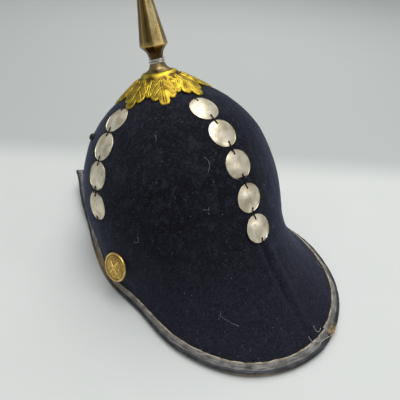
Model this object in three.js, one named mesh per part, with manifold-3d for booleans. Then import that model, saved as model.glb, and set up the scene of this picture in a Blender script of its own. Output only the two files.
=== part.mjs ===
// A spiked dress helmet: a cloth covered felt dome with a long neck guard and a visor, a leather bound
// edge, a gilt leaf base with a brass spike, a gilt button at each side and strings of sewn discs.
// Millimetres, +Z up, front towards -Y. The helmet stands on its bound edge, on the plane z = 0.

import * as THREE from 'three';
import { mergeVertices } from 'three/addons/utils/BufferGeometryUtils.js';
import Module from 'manifold-3d';

const wasm = await Module();
wasm.setup();

const DEGREE = Math.PI / 180;
const TURN = 2 * Math.PI;

// Clearance between neighbouring pieces
const GAP = 0.3;

// Dome, measured on its own axis from the hat line
const CROWN_HALF_WIDTH = 90.5;
const CROWN_REAR_LENGTH = 92;
const CROWN_FRONT_LENGTH = 93.5;
const CROWN_HEIGHT = 143;
const WALL_POWER = 3.2;
const TOP_POWER = 1.65;
const FELT = 3;

// Lower edge by bearing from the rear: height of the waist over the hat line, reach of the flare past
// the waist, lift of the lip over the resting plane, and slope of the lip in degrees
const RIM_ROWS = [
  { bearing: 0, waist: 60, flare: 61, lift: -0.4, slope: 51 },
  { bearing: 22.5, waist: 40, flare: 52, lift: 0.9, slope: 49 },
  { bearing: 45, waist: 8, flare: 30, lift: 1.4, slope: 46 },
  { bearing: 67.5, waist: 12.5, flare: 6.5, lift: 0.4, slope: 48 },
  { bearing: 90, waist: 23, flare: 2.6, lift: -0.3, slope: 49 },
  { bearing: 112.5, waist: 58, flare: 6.5, lift: 0.2, slope: 40 },
  { bearing: 135, waist: 40, flare: 12.9, lift: 1.6, slope: 45 },
  { bearing: 157.5, waist: 25, flare: 37.7, lift: 14, slope: 32 },
  { bearing: 180, waist: 40, flare: 52, lift: 13, slope: 27 },
];
const FLARE_PULL = 0.4;

// Pointed corner at each end of the visor's front edge
const VISOR_CORNER = { bearing: 162 * DEGREE, reach: 14.4, lift: 3, spread: 5 * DEGREE };

// The dome leans forward over the plane that its edge rests on
const REST_PITCH = 18 * DEGREE;
const REST_LEVEL = -16.7;
const SOLE_DROP = 1.2;

// Ridge down the middle of the neck guard
const KEEL_RISE = 2.4;
const KEEL_SPREAD = 9 * DEGREE;

// Folded leather over the edge
const LEATHER = 1.2;
const BAND = 11;
const FELT_SETBACK = 2;
const FOLD_SHOULDER = { up: 0.75, out: 0.5 };

// Gilt leaf base, on the top of the dome
const LEAF_COUNT = 8;
const LEAF_TURN = 33 * DEGREE;
const LEAF_TIP_RADIUS = 41.5;
const LEAF_VALLEY_RADIUS = 28;
const LEAF_LOBE = 1.4;
const LEAF_LOBES_PER_LEAF = 4;
const LEAF_EDGE = 1.3;
const LEAF_RELIEF = 0.9;
const BASE_TOP_RADIUS = 13.2;
const BASE_TOP_HEIGHT = 7;
const BASE_SLOPE_POWER = 1.6;

// Spike and its neck, turned on the dome's axis, heights over the top of the dome
const COLLAR_ROWS = [
  { radius: 0, height: 7.3 },
  { radius: 10.9, height: 7.3 },
  { radius: 10.9, height: 8.5 },
  { radius: 8.4, height: 9.8 },
  { radius: 7, height: 11.6 },
  { radius: 6.2, height: 14 },
  { radius: 0, height: 14 },
];
const THREAD_RING_ROWS = [
  { radius: 0, height: 14.3 },
  { radius: 6.9, height: 14.3 },
  { radius: 6.9, height: 15.7 },
  { radius: 6.1, height: 16.2 },
  { radius: 6.9, height: 16.7 },
  { radius: 6.9, height: 18.1 },
  { radius: 0, height: 18.1 },
];
const SPIKE_SIDES = 8;
const SPIKE_ROWS = [
  { radius: 0, height: 18.4 },
  { radius: 5.9, height: 18.4 },
  { radius: 7.1, height: 23 },
  { radius: 11.7, height: 27.9 },
  { radius: 1.5, height: 90 },
  { radius: 0, height: 92 },
];

// Sewn discs: distances are measured down the dome from its top
const DISC = { radius: 11.6, rise: 2.6, sheet: 0.8, shoulder: 0.55, settle: 0.4 };
const DISC_HOLE = { radius: 0.8, place: 8.4, sides: 6, depth: 10 };
const DISC_STRINGS = [
  { name: 'disc_rear', bearing: 0, down: [56.5, 81.2, 107.6, 135, 161] },
  { name: 'disc_left', bearing: 86.5 * DEGREE, down: [54.2, 78, 101.5, 126] },
  { name: 'disc_right', bearing: -86.5 * DEGREE, down: [54.2, 78, 101.5, 126] },
];

// Side buttons on short shanks, placed up from the lip and leaning out at the foot, and studs, placed
// down from the top
const BUTTON = { radius: 12.4, bearing: 76.6 * DEGREE, up: 39.7, lean: 19 * DEGREE };
const BUTTON_ROWS = [
  { radius: 0, height: -2.6 },
  { radius: 2.4, height: -2.6 },
  { radius: 2.4, height: 0 },
  { radius: 11.8, height: 0 },
  { radius: 12.4, height: 0.9 },
  { radius: 12, height: 2 },
  { radius: 10.1, height: 1.6 },
  { radius: 6.1, height: 2.5 },
  { radius: 0, height: 3.1 },
];
const STAVE = { width: 1.5, length: 13, depth: 2.2, height: 2.4, lean: 38 * DEGREE };
const STUD = { radius: 3.2, bearing: 112 * DEGREE, down: 76 };
const STUD_ROWS = [
  { radius: 0, height: 0 },
  { radius: 3.2, height: 0 },
  { radius: 3.2, height: 1.6 },
  { radius: 2.2, height: 3.1 },
  { radius: 0, height: 3.6 },
];

// Fineness of the meshes
const COLUMNS = 60;
const CROWN_RINGS = 10;
const FLARE_RINGS = 8;
const INSIDE_CROWN_RINGS = 7;
const INSIDE_FLARE_RINGS = 4;
const OUTLINE_STEPS = 40;
const LEAF_COLUMNS = 96;
const LEAF_RINGS = 5;
const ROUND_SIDES = 20;
const DISC_SIDES = 16;
const STUD_SIDES = 10;
const SMALL_STEP = 0.5;

const cloth = new THREE.MeshStandardMaterial({ color: 0x14151d, roughness: 0.95, metalness: 0 });
const leather = new THREE.MeshStandardMaterial({ color: 0x3b3834, roughness: 0.6, metalness: 0 });
const gilt = new THREE.MeshStandardMaterial({ color: 0xd2a41e, roughness: 0.28, metalness: 1 });
const agedBrass = new THREE.MeshStandardMaterial({ color: 0x6e5730, roughness: 0.38, metalness: 1 });
const whiteMetal = new THREE.MeshStandardMaterial({ color: 0xc9c5bb, roughness: 0.35, metalness: 1 });
const silvered = new THREE.MeshStandardMaterial({ color: 0xbcb6a4, roughness: 0.42, metalness: 0.8 });
const blackened = new THREE.MeshStandardMaterial({ color: 0x1b1b1e, roughness: 0.5, metalness: 0.4 });

// Angle from the rear, the same on both sides
function fromRear(bearing) {
  return Math.abs(Math.atan2(Math.sin(bearing), Math.cos(bearing)));
}

// A value of the rim's table at any bearing, smooth and the same on both sides
function alongRim(column, bearing) {
  const last = RIM_ROWS.length - 1;
  const place = fromRear(bearing) / Math.PI * last;
  const from = Math.min(Math.floor(place), last - 1);
  const row = index => RIM_ROWS[last - Math.abs(last - Math.abs(index))][column];
  const [a, b, c, d] = [from - 1, from, from + 1, from + 2].map(row);
  const u = place - from;
  return b + 0.5 * u * (c - a + u * (2 * a - 5 * b + 4 * c - d + u * (3 * (b - c) + d - a)));
}

// Plan radius of the dome at its widest
function planRadius(bearing) {
  const length = Math.cos(bearing) > 0 ? CROWN_REAR_LENGTH : CROWN_FRONT_LENGTH;
  return 1 / Math.hypot(Math.sin(bearing) / CROWN_HALF_WIDTH, Math.cos(bearing) / length);
}

function crownRadius(bearing, height) {
  const rise = Math.max(height / CROWN_HEIGHT, 0);
  return planRadius(bearing) * (1 - rise ** WALL_POWER) ** (1 / TOP_POWER);
}

function crownHeight(bearing, radius) {
  return CROWN_HEIGHT * (1 - (radius / planRadius(bearing)) ** TOP_POWER) ** (1 / WALL_POWER);
}

// Outward normal of a section that runs downward along the given direction
function outward(direction) {
  return new THREE.Vector2(-direction.y, direction.x).normalize();
}

function crownSection(bearing, height, offset) {
  const radius = crownRadius(bearing, height);
  const below = crownRadius(bearing, height - SMALL_STEP);
  const normal = outward(new THREE.Vector2(below - radius, -SMALL_STEP));
  return new THREE.Vector2(radius, height).addScaledVector(normal, offset);
}

// Curve of the flare at one bearing, from the waist down to the lip
function flareCurve(bearing) {
  const waist = alongRim('waist', bearing);
  const slope = alongRim('slope', bearing) * DEGREE;
  const start = crownSection(bearing, waist, 0);
  const above = crownSection(bearing, waist + SMALL_STEP, 0);
  const corner = Math.exp(-Math.abs(fromRear(bearing) - VISOR_CORNER.bearing) / VISOR_CORNER.spread);
  const reach = start.x + alongRim('flare', bearing) + VISOR_CORNER.reach * corner;
  const plane = REST_LEVEL - Math.tan(REST_PITCH) * reach * Math.cos(bearing);
  const end = new THREE.Vector2(reach, plane + alongRim('lift', bearing) + VISOR_CORNER.lift * corner);
  const pull = start.distanceTo(end) * FLARE_PULL;
  const leaving = start.clone().sub(above).setLength(pull);
  const arriving = new THREE.Vector2(Math.cos(slope), -Math.sin(slope)).multiplyScalar(pull);
  return new THREE.CubicBezierCurve(start, start.clone().add(leaving), end.clone().sub(arriving), end);
}

// Place on the flare's curve at a short distance up from the lip
function curvePlace(curve, distance) {
  const lipSpeed = 3 * curve.v2.distanceTo(curve.v3);
  return 1 - distance / lipSpeed;
}

function keel(bearing, place) {
  return KEEL_RISE * place ** 2 * Math.exp(-fromRear(bearing) / KEEL_SPREAD);
}

function flareSection(bearing, curve, place, offset) {
  const normal = outward(curve.getTangent(place));
  return curve.getPoint(place).addScaledVector(normal, offset + keel(bearing, place));
}

function spun(bearing, section) {
  return new THREE.Vector3(section.x * Math.sin(bearing), section.x * Math.cos(bearing), section.y);
}

function bearings(columns) {
  return Array.from({ length: columns }, (_, column) => column / columns * TURN);
}

// Closed mesh through rings of points: the ends meet in two poles, or the last ring joins the first.
// Each four-sided patch is split along its shorter diagonal.
function loft(rings, poles) {
  const columns = rings[0].length;
  const points = rings.flat();
  const faces = [];
  const at = (ring, column) => ring % rings.length * columns + column % columns;
  const spans = poles ? rings.length - 1 : rings.length;
  for (let ring = 0; ring < spans; ring += 1) {
    for (let column = 0; column < columns; column += 1) {
      const [a, b] = [at(ring, column), at(ring, column + 1)];
      const [c, d] = [at(ring + 1, column), at(ring + 1, column + 1)];
      const leansLeft = points[a].distanceTo(points[d]) < points[b].distanceTo(points[c]);
      faces.push(...(leansLeft ? [a, b, d, a, d, c] : [a, b, c, b, d, c]));
    }
  }
  if (poles) {
    const first = points.push(poles[0]) - 1;
    const last = points.push(poles[1]) - 1;
    for (let column = 0; column < columns; column += 1) {
      faces.push(first, at(0, column + 1), at(0, column));
      faces.push(last, at(rings.length - 1, column), at(rings.length - 1, column + 1));
    }
  }
  const geometry = new THREE.BufferGeometry().setFromPoints(points);
  geometry.setIndex(faces);
  return geometry;
}

// Felt body: down the outside, round the edge and up the inside
function shellGeometry() {
  const surface = (offset, crownRings, flareRings) => {
    const columns = bearings(COLUMNS).map(bearing => {
      const curve = flareCurve(bearing);
      const waist = curve.v0.y;
      const bandPlace = curvePlace(curve, BAND);
      const sections = [];
      for (let ring = 1; ring < crownRings; ring += 1) {
        const rise = Math.cos(ring / crownRings * Math.PI / 2);
        sections.push(crownSection(bearing, waist + (CROWN_HEIGHT - waist) * rise, offset));
      }
      for (let ring = 0; ring <= flareRings; ring += 1) {
        sections.push(flareSection(bearing, curve, bandPlace * ring / flareRings, offset));
      }
      for (const distance of [BAND / 2, FELT_SETBACK]) {
        sections.push(flareSection(bearing, curve, curvePlace(curve, distance), offset));
      }
      return sections.map(section => spun(bearing, section));
    });
    return columns[0].map((_, ring) => columns.map(column => column[ring]));
  };
  const outside = surface(0, CROWN_RINGS, FLARE_RINGS);
  const inside = surface(-FELT, INSIDE_CROWN_RINGS, INSIDE_FLARE_RINGS);
  const top = new THREE.Vector3(0, 0, CROWN_HEIGHT);
  const ceiling = new THREE.Vector3(0, 0, CROWN_HEIGHT - FELT);
  return loft([...outside, ...inside.reverse()], [top, ceiling]);
}

// Pushes a point that lies under the resting plane up onto it
function rested(point) {
  const up = new THREE.Vector3(0, Math.sin(REST_PITCH), Math.cos(REST_PITCH));
  const floor = REST_LEVEL * Math.cos(REST_PITCH) - SOLE_DROP;
  return point.addScaledVector(up, Math.max(floor - point.dot(up), 0));
}

// Leather strip folded over the felt's edge, a U in section, flattened where it rests
function bindingGeometry() {
  const inner = GAP;
  const outer = GAP + LEATHER;
  const lip = FELT_SETBACK;
  const shoulder = lip - outer * FOLD_SHOULDER.up;
  const fold = [
    { up: BAND, out: outer },
    { up: BAND / 2, out: outer },
    { up: lip, out: outer },
    { up: shoulder, out: outer * FOLD_SHOULDER.out },
    { up: lip - outer, out: -FELT / 2 },
    { up: shoulder, out: -FELT - outer * FOLD_SHOULDER.out },
    { up: lip, out: -FELT - outer },
    { up: BAND, out: -FELT - outer },
    { up: BAND, out: -FELT - inner },
    { up: BAND / 2, out: -FELT - inner },
    { up: lip, out: -FELT - inner },
    { up: lip - inner, out: -FELT },
    { up: lip - inner, out: 0 },
    { up: lip, out: inner },
    { up: BAND / 2, out: inner },
    { up: BAND, out: inner },
  ];
  const columns = bearings(COLUMNS).map(bearing => {
    const curve = flareCurve(bearing);
    const section = ({ up, out }) => flareSection(bearing, curve, curvePlace(curve, up), out);
    return fold.map(corner => rested(spun(bearing, section(corner))));
  });
  return loft(fold.map((_, corner) => columns.map(column => column[corner])), null);
}

// Leaf base: lobed outline, a sloping top that rises to the neck, underside on the dome
function leafGeometry() {
  const leafAngle = TURN / LEAF_COUNT;
  const swell = bearing => Math.cos((bearing - LEAF_TURN) * LEAF_COUNT / 2) ** 2;
  const outline = bearing => {
    const lobe = LEAF_LOBE * Math.cos((bearing - LEAF_TURN) * LEAF_COUNT * LEAF_LOBES_PER_LEAF);
    return LEAF_VALLEY_RADIUS + (LEAF_TIP_RADIUS - LEAF_VALLEY_RADIUS) * swell(bearing) + lobe;
  };
  const turned = bearings(LEAF_COLUMNS).map(bearing => bearing + LEAF_TURN % leafAngle);
  const rings = [];
  for (let ring = 0; ring <= LEAF_RINGS; ring += 1) {
    const out = ring / LEAF_RINGS;
    rings.push(turned.map(bearing => {
      const radius = BASE_TOP_RADIUS + (outline(bearing) - BASE_TOP_RADIUS) * out;
      const foot = crownHeight(bearing, radius) + GAP;
      const neck = CROWN_HEIGHT + BASE_TOP_HEIGHT - crownHeight(bearing, BASE_TOP_RADIUS) - GAP;
      const relief = LEAF_RELIEF * swell(bearing) * Math.sin(out * Math.PI);
      const rise = LEAF_EDGE + (neck - LEAF_EDGE) * (1 - out) ** BASE_SLOPE_POWER + relief;
      return spun(bearing, new THREE.Vector2(radius, foot + rise));
    }));
  }
  for (let ring = LEAF_RINGS; ring > 0; ring -= 1) {
    rings.push(turned.map(bearing => {
      const radius = outline(bearing) * ring / LEAF_RINGS;
      return spun(bearing, new THREE.Vector2(radius, crownHeight(bearing, radius) + GAP));
    }));
  }
  const top = new THREE.Vector3(0, 0, CROWN_HEIGHT + BASE_TOP_HEIGHT);
  const under = new THREE.Vector3(0, 0, CROWN_HEIGHT + GAP);
  return loft(rings, [top, under]);
}

// Turned piece on the +Z axis, from rows that start and end on the axis
function turnedGeometry(rows, sides) {
  const points = rows.map(({ radius, height }) => new THREE.Vector2(radius, height));
  const geometry = new THREE.LatheGeometry(points, sides);
  geometry.rotateX(Math.PI / 2);
  return bare(geometry);
}

// Same shape with only merged positions left
function bare(geometry) {
  geometry.deleteAttribute('normal');
  geometry.deleteAttribute('uv');
  return mergeVertices(geometry);
}

function solid(geometry) {
  return new wasm.Manifold(new wasm.Mesh({
    numProp: 3,
    vertProperties: new Float32Array(geometry.attributes.position.array),
    triVerts: new Uint32Array(geometry.index.array),
  }));
}

function fromSolid(manifold) {
  const mesh = manifold.getMesh();
  const geometry = new THREE.BufferGeometry();
  geometry.setAttribute('position', new THREE.BufferAttribute(mesh.vertProperties, mesh.numProp));
  geometry.setIndex(new THREE.BufferAttribute(mesh.triVerts, 1));
  return geometry;
}

// Domed sheet disc with a thread hole near its edge at both ends of its up direction
function discGeometry() {
  const { radius, rise, sheet, shoulder } = DISC;
  const domeRow = (share, inset) => ({
    radius: (radius - inset) * share,
    height: (rise - inset) * (1 - share ** 2),
  });
  const rows = [
    domeRow(0, sheet),
    domeRow(shoulder, sheet),
    { radius: radius - sheet, height: 0 },
    { radius, height: sheet / 2 },
    domeRow(shoulder, 0),
    domeRow(0, 0),
  ];
  const disc = solid(turnedGeometry(rows, DISC_SIDES));
  const hole = DISC_HOLE;
  const drill = new THREE.CylinderGeometry(hole.radius, hole.radius, hole.depth, hole.sides);
  const upright = bare(drill.rotateX(Math.PI / 2));
  const holes = [-hole.place, hole.place].map(place => solid(upright.clone().translate(0, place, 0)));
  return fromSolid(disc.subtract(holes[0]).subtract(holes[1]));
}

// Domed button with a raised rim and two plain crossed staves
function buttonGeometry() {
  const body = solid(turnedGeometry(BUTTON_ROWS, ROUND_SIDES));
  const staves = [-STAVE.lean, STAVE.lean].map(lean => {
    const bar = new THREE.BoxGeometry(STAVE.width, STAVE.length, STAVE.depth);
    return solid(bare(bar.translate(0, 0, STAVE.height).rotateZ(lean)));
  });
  return fromSolid(body.add(staves[0]).add(staves[1]));
}

// Outline of the dome and flare at one bearing, from the top down to the lip
function outlineCurve(bearing) {
  const curve = flareCurve(bearing);
  const waist = curve.v0.y;
  const crown = Array.from({ length: OUTLINE_STEPS }, (_, step) => {
    const rise = Math.cos(step / OUTLINE_STEPS * Math.PI / 2);
    return crownSection(bearing, waist + (CROWN_HEIGHT - waist) * rise, 0);
  });
  const flare = curve.getPoints(OUTLINE_STEPS);
  return new THREE.SplineCurve([...crown, ...flare]);
}

// Seats a round piece flat on the outside of the dome
function seat(mesh, bearing, down, radius) {
  const outline = outlineCurve(bearing);
  const length = outline.getLength();
  const middle = outline.getPointAt(down / length);
  const tangent = outline.getTangentAt(down / length);
  const normal = outward(tangent);
  const bulges = [-radius, radius].map(step => {
    const place = Math.min((down + step) / length, 1);
    return outline.getPointAt(place).sub(middle).dot(normal);
  });
  middle.addScaledVector(normal, Math.max(...bulges, -DISC.settle) + GAP);
  const upward = spun(bearing, tangent.clone().negate());
  const facing = spun(bearing, normal);
  const across = new THREE.Vector3().crossVectors(upward, facing);
  mesh.position.copy(spun(bearing, middle));
  mesh.quaternion.setFromRotationMatrix(new THREE.Matrix4().makeBasis(across, upward, facing));
}

const helmet = new THREE.Group();
helmet.rotation.x = REST_PITCH;

function addPiece(name, geometry, material) {
  const mesh = new THREE.Mesh(geometry, material);
  mesh.name = name;
  helmet.add(mesh);
  return mesh;
}

addPiece('shell', shellGeometry(), cloth);
addPiece('edge_binding', bindingGeometry(), leather);
addPiece('oak_leaf_base', leafGeometry(), gilt);

const topPieces = [
  addPiece('spike_collar', turnedGeometry(COLLAR_ROWS, ROUND_SIDES), agedBrass),
  addPiece('thread_ring', turnedGeometry(THREAD_RING_ROWS, ROUND_SIDES), whiteMetal),
  addPiece('spike', turnedGeometry(SPIKE_ROWS, SPIKE_SIDES).rotateZ(-LEAF_TURN), agedBrass),
];
for (const piece of topPieces) {
  piece.position.z = CROWN_HEIGHT;
}

const disc = discGeometry();
for (const { name, bearing, down } of DISC_STRINGS) {
  down.forEach((distance, index) => {
    seat(addPiece(`${name}_${index + 1}`, disc, silvered), bearing, distance, DISC.radius);
  });
}

const button = buttonGeometry();
const stud = turnedGeometry(STUD_ROWS, STUD_SIDES);
for (const [side, hand] of [['left', 1], ['right', -1]]) {
  const buttonPiece = addPiece(`side_button_${side}`, button, gilt);
  const buttonDown = outlineCurve(hand * BUTTON.bearing).getLength() - BUTTON.up;
  seat(buttonPiece, hand * BUTTON.bearing, buttonDown, BUTTON.radius);
  buttonPiece.translateZ(BUTTON.radius * Math.sin(BUTTON.lean));
  buttonPiece.rotateX(-BUTTON.lean);
  seat(addPiece(`side_stud_${side}`, stud, blackened), hand * STUD.bearing, STUD.down, STUD.radius);
}

// The origin is the middle of the underside of the whole helmet
const part = new THREE.Group();
part.add(helmet);
part.updateMatrixWorld(true);
const box = new THREE.Box3().setFromObject(part, true);
helmet.position.set(0, -(box.min.y + box.max.y) / 2, -box.min.z);

export default part;
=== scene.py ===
"""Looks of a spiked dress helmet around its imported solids.

Shapes are worked out in millimetres in the helmet's own frame, with +Z up the axis of the dome, and are
then turned and moved into the resting frame, in metres. A bearing of 0 is the rear, and 90 degrees is
the wearer's left.
"""

import math
import random
from types import SimpleNamespace as Sizes

import bmesh
import bpy
import numpy as np
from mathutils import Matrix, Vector, noise


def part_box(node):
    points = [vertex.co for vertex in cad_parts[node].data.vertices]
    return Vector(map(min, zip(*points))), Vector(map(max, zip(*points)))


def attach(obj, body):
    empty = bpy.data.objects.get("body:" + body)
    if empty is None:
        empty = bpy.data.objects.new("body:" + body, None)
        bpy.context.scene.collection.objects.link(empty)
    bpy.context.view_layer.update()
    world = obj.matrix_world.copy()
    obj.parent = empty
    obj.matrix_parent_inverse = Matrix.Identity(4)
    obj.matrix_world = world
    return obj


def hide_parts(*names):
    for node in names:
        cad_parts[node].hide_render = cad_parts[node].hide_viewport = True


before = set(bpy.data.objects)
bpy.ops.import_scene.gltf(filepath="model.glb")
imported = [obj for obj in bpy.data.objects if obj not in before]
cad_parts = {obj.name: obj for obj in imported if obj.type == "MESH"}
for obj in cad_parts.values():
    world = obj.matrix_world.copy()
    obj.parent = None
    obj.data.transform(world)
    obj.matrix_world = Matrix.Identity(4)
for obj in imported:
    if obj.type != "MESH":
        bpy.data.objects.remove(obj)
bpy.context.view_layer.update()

MM = 0.001
DEGREE = math.pi / 180
TURN = 2 * math.pi
GAP = 0.3
SEED = 7
SIDES = (("left", 1), ("right", -1))

# Dome, measured on its own axis from the hat line
CROWN_HALF_WIDTH = 90.5
CROWN_REAR_LENGTH = 92
CROWN_FRONT_LENGTH = 93.5
CROWN_HEIGHT = 143
WALL_POWER = 3.2
TOP_POWER = 1.65
FELT = 3

# Lower edge every 22.5 degrees from the rear to the front: height of the waist over the hat line, reach
# of the flare past the waist, lift of the lip over the resting plane, and slope of the lip in degrees
RIM = {
    "waist": (60, 40, 8, 12.5, 23, 58, 40, 25, 40),
    "flare": (61, 52, 30, 6.5, 2.6, 6.5, 12.9, 37.7, 52),
    "lift": (-0.4, 0.9, 1.4, 0.4, -0.3, 0.2, 1.6, 14, 13),
    "slope": (51, 49, 46, 48, 49, 40, 45, 32, 27),
}
FLARE_PULL = 0.4
VISOR_CORNER = Sizes(bearing=162 * DEGREE, reach=14.4, lift=3, spread=5 * DEGREE)
REST_PITCH = 18 * DEGREE
REST_LEVEL = -16.7
SOLE_DROP = 1.2
KEEL_RISE = 2.4
KEEL_SPREAD = 9 * DEGREE
BAND = 11
FELT_SETBACK = 2
SMALL_STEP = 0.5
OUTLINE_STEPS = 160

# Angle between two faces, in degrees, past which their edge shows as sharp
SHARP = {"soft": 80, "leather": 60, "leaf": 70, "spike": 25, "turned": 40, "disc": 35, "button": 50}

# Cloth: rows of the dome and the flare, swell of the nap, and soft unevenness
CLOTH_COLUMNS = 320
CLOTH_ROWS = (56, 52)
INSIDE_ROWS = (16, 12)
NAP = 0.5
UNEVEN = Sizes(size=30, rise=0.7)
PUCKER = Sizes(size=9, rise=0.25)

# Fold down the neck guard: a groove beside a ridge. It starts below the waist, and towards the leather
# it comes down to a share of its height
SEAM_CROWDING = 0.7
SEAM = Sizes(place=1.5, rise=-1.6, width=2.6)
SEAM_RIDGE = Sizes(place=-4.5, rise=1.5, width=4.5)
SEAM_START = Sizes(progress=1.2, quickness=6)
SEAM_END = Sizes(over=26, share=0.6)

# Leather edge: up from the lip, out from the felt, and how raw the leather is there
BINDING_COLUMNS = 640
BINDING_ROWS = (
    (BAND, 0.3, 1.0), (BAND + 0.15, 0.8, 1.0), (BAND - 0.05, 1.3, 0.9), (BAND - 0.7, 1.5, 0.25),
    (9.2, 1.55, 0), (7.6, 1.45, 0), (6.2, 1.35, 0), (5.3, 1.1, 0), (4.6, 1.4, 0), (3.7, 1.95, 0),
    (2.6, 2.15, 0), (1.6, 1.75, 0), (0.8, 0.7, 0), (0.45, -0.9, 0), (0.45, -2.1, 0), (0.8, -3.6, 0),
    (1.8, -4.4, 0), (4.0, -4.5, 0), (8.0, -4.5, 0), (BAND, -4.4, 0.6), (BAND, -3.4, 0.9),
    (6.0, -3.35, 0), (2.2, -3.3, 0), (1.75, -2.9, 0), (1.75, -0.1, 0), (2.2, 0.3, 0), (6.0, 0.3, 0),
)
BINDING_OUTSIDE_ROWS = 12
ROLL_TOP = 5
RAW_EDGE = 0.5
JOIN = Sizes(bearing=-6 * DEGREE, gap=0.25 * DEGREE, flap=13, lift=1.7)
CREASE_SHARE = 0.12
# Waves of the leather and its ragged edge: size, rise and shift of the noise
LONG_WAVE = (6, 0.3, 0)
SHORT_WAVE = (1.7, 0.18, 31.7)
RAGGED = ((8, 0.75, 5.3), (2.2, 0.375, 9.1))

# Worn stretches of the leather: bearing and half width in degrees, strength, and reach up from the lip
WORN = (
    (106, 14, 1.0, 9), (-110, 12, 0.7, 6), (22, 8, 1.0, 2.5), (-8, 1.5, 0.7, 7),
    (48, 6, 0.5, 1.4), (-60, 10, 0.5, 2), (175, 12, 0.5, 2),
)

# Gilt leaf base: its rows give radius, height over the plain slope, and how bright the gilt is painted
# there, a painted highlight on the raised band and painted shade round its foot
BASE_TOP_RADIUS = 13.2
BASE_TOP_HEIGHT = 7
BASE_TOP_DIP = 0.1
BASE_SLOPE_POWER = 1.6
BASE_SKIRT_RADIUS = 29
BASE_SECTORS = 288
BASE_ROWS = (
    (11.4, 0.3, 0.3), (12.3, 0.65, 0.6), (BASE_TOP_RADIUS, 0.8, 0.85), (14.1, 0.85, 0.95),
    (15.0, 0.75, 0.85), (15.7, 0.4, 0.55), (16.2, -0.1, 0.3), (16.6, -0.35, 0.1), (18, -0.3, 0.25),
    (22, -0.4, 0.25), (BASE_SKIRT_RADIUS, -0.6, 0.15),
)
BASE_FOOT_RADII = (BASE_SKIRT_RADIUS, 20, 8)

# Leaves: big ones over small ones between them
LEAF_COUNT = 8
LEAF_TURN = 33 * DEGREE
LEAF_TIP_RADIUS = 41.5
LEAF_EDGE = 1.3
LEAF_SECTORS = 144
LEAF_RINGS = 26
LEAF_UNDER_SHARES = (1.0, 0.7, 0.35, 0.08)
LEAF_THICKNESS = 0.7
LEAF_CLEAR = Sizes(top=0.25, under=0.05)
LEAF_ROUND_POWER = 3
BIG_LEAF = Sizes(middle=28.8, size=13.0, neck=11.6, rise=1.1, sink=0.0)
SMALL_LEAF = Sizes(middle=24.0, size=8.6, neck=6.2, rise=0.9, sink=0.6)
LOBES = (0, 61, 112)
LOBE_SHARES = (1.0, 0.64, 0.46)
LOBE_SPREAD = 27
LOBE_POWER = 4
STALK_START = LOBES[-1] + LOBE_SPREAD
SINUS = 0.56
SIDE_VEINS = (-0.66, -0.16)
VEIN = Sizes(lean=58 * DEGREE, bend=0.035, width=0.36, rise=0.32, fade=4)
DITCH = Sizes(place=0.85, width=0.4, depth=0.18)
LEAF_RIM = Sizes(start=0.92, rise=0.2)
LEAF_LUMPS = Sizes(size=5, rise=0.2, band_shade=0.9)
# Painted light of the leaves: veins, rims and raised lumps painted brighter as highlights, and the ditches
# beside the veins darker as shade; undersides painted dark as shade
LEAF_PAINTED_LIGHT = {"plain": 0.55, "vein": 0.3, "ditch": -0.4, "rim": 0.25, "lumps": 0.5}
LEAF_UNDER_PAINTED_SHADE = 0.1

# Spike and its neck: radius and height over the top of the dome, and for the spike how worn its edge is,
# also painted there as an edge highlight
COLLAR_ROWS = (
    (0, 7.3), (10.6, 7.3), (11.0, 7.6), (11.0, 8.2), (10.5, 8.6), (9.4, 9.1), (8.5, 9.8),
    (7.7, 10.7), (7.1, 11.8), (6.7, 12.8), (6.4, 13.6), (6.2, 14.0), (0, 14.0),
)
# Even shares of the edge colour and of the pale brass on the collar, giving it its tone
COLLAR_TONE = {"edge": 0.1, "handled": 0.35}
RING_ROWS = (
    (0, 14.3), (5.6, 14.3), (5.7, 14.8), (6.7, 15.0), (6.95, 15.3), (6.9, 15.7), (6.3, 15.95),
    (5.5, 16.1), (5.4, 16.5), (6.3, 16.7), (6.9, 16.9), (7.0, 17.3), (6.9, 17.7), (6.4, 17.9),
    (5.6, 18.1), (0, 18.1),
)
SPIKE_ROWS = (
    (0, 18.4, 0), (5.8, 18.4, 0.3), (5.95, 18.8, 0), (6.2, 20.4, 0), (6.6, 21.8, 0), (7.2, 23.1, 0),
    (8.2, 24.5, 0), (9.6, 26.0, 0), (11.2, 27.5, 0.4), (11.6, 27.8, 1), (11.7, 28.1, 1),
    (11.6, 28.7, 0.6), (11.1, 32, 0), (6.3, 61, 0), (1.75, 88.5, 0), (1.5, 90, 0.5), (1.2, 91, 0.6),
    (0.6, 91.8, 0.6), (0, 92, 0.6),
)
ROUND_SIDES = 72
SPIKE_SIDES = 8
SPIKE_CORNER = 0.05
SPIKE_RIDGE = SPIKE_CORNER * 0.35
# Columns of one side of the spike: share of its width, and how worn the edge is there, also painted as an
# edge highlight
SPIKE_COLUMNS = (
    (SPIKE_CORNER, 0.35), (0.5, 0), (1 - SPIKE_CORNER, 0.35), (1 - SPIKE_RIDGE, 1), (1 + SPIKE_RIDGE, 1),
)
# One side of the spike painted paler as painted light, from a height on
PAINTED_LIGHT_SIDE = Sizes(plain=0.5, gain=1.4, start=26, over=2.5)

# Sewn discs, placed down the dome from its top; rows of the edge are shares of radius and sheet
DISC = Sizes(radius=11.6, rise=2.6, sheet=0.8, settle=0.4)
DISC_HOLE = Sizes(radius=0.85, place=8.4, sides=14, depth=10)
DISC_SECTORS = 56
DISC_TOP_SHARES = np.linspace(0.08, 0.97, 14)
DISC_EDGE = ((0.99, 0.62), (1, 0.4), (0.99, 0.12))
DISC_UNDER_SHARES = np.linspace(0.9, 0.1, 7)
DISC_DENT = Sizes(size=8, rise=0.2, shift=3.7)
SIDE_DOWNS = (54.2, 78, 101.5, 126)
DISC_STRINGS = (
    ("disc_rear", 0.0, (56.5, 81.2, 107.6, 135, 161)),
    ("disc_left", 86.5 * DEGREE, SIDE_DOWNS),
    ("disc_right", -86.5 * DEGREE, SIDE_DOWNS),
)

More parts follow.
